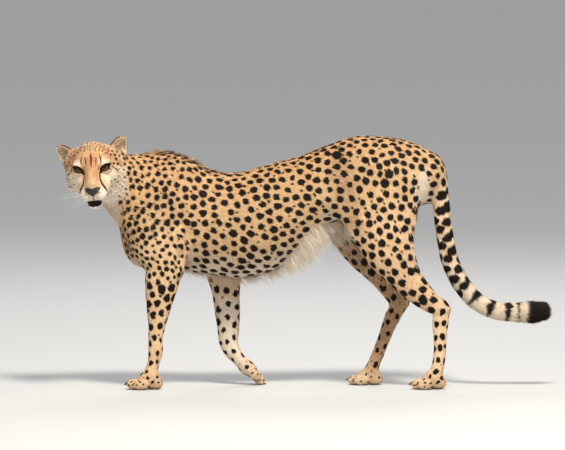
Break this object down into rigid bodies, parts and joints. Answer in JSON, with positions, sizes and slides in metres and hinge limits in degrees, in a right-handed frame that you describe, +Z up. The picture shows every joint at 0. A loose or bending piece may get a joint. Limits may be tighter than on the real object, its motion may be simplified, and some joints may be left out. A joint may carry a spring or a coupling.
{
  "type": "cheetah",
  "caption": "Life-size still cheetah standing in mid stride with its head turned to its left, parted into head, neck, trunk, legs and tail by thin cuts.",
  "frame": {"origin": "on the floor, below the middle of the animal's bounding box", "axes": "+Z up, the body runs along Y with the head end towards -Y and the tail towards +Y, the animal's left side towards +X, where its face looks"},
  "size_m": [0.3358, 1.4313, 0.7351],
  "materials": {
    "coat": "short golden fur with black spots, paler below",
    "nose": "moist black nose leather, finely pebbled",
    "eye": "wet amber-brown eye with a round black pupil"
  },
  "bodies": {
    "root": {"abdomen": "coat", "chest": "coat", "ear_left": "coat", "ear_right": "coat", "eye_left": "eye", "eye_right": "eye", "head": "coat", "leg_fore_left_lower": "coat", "leg_fore_left_upper": "coat", "leg_fore_right_lower": "coat", "leg_fore_right_upper": "coat", "leg_hind_left_lower": "coat", "leg_hind_left_upper": "coat", "leg_hind_right_lower": "coat", "leg_hind_right_upper": "coat", "neck": "coat", "nose": "nose", "paw_fore_left": "coat", "paw_fore_right": "coat", "paw_hind_left": "coat", "paw_hind_right": "coat", "rump": "coat", "tail_1": "coat", "tail_2": "coat", "tail_3": "coat", "tail_4": "coat"}
  },
  "joints": []
}
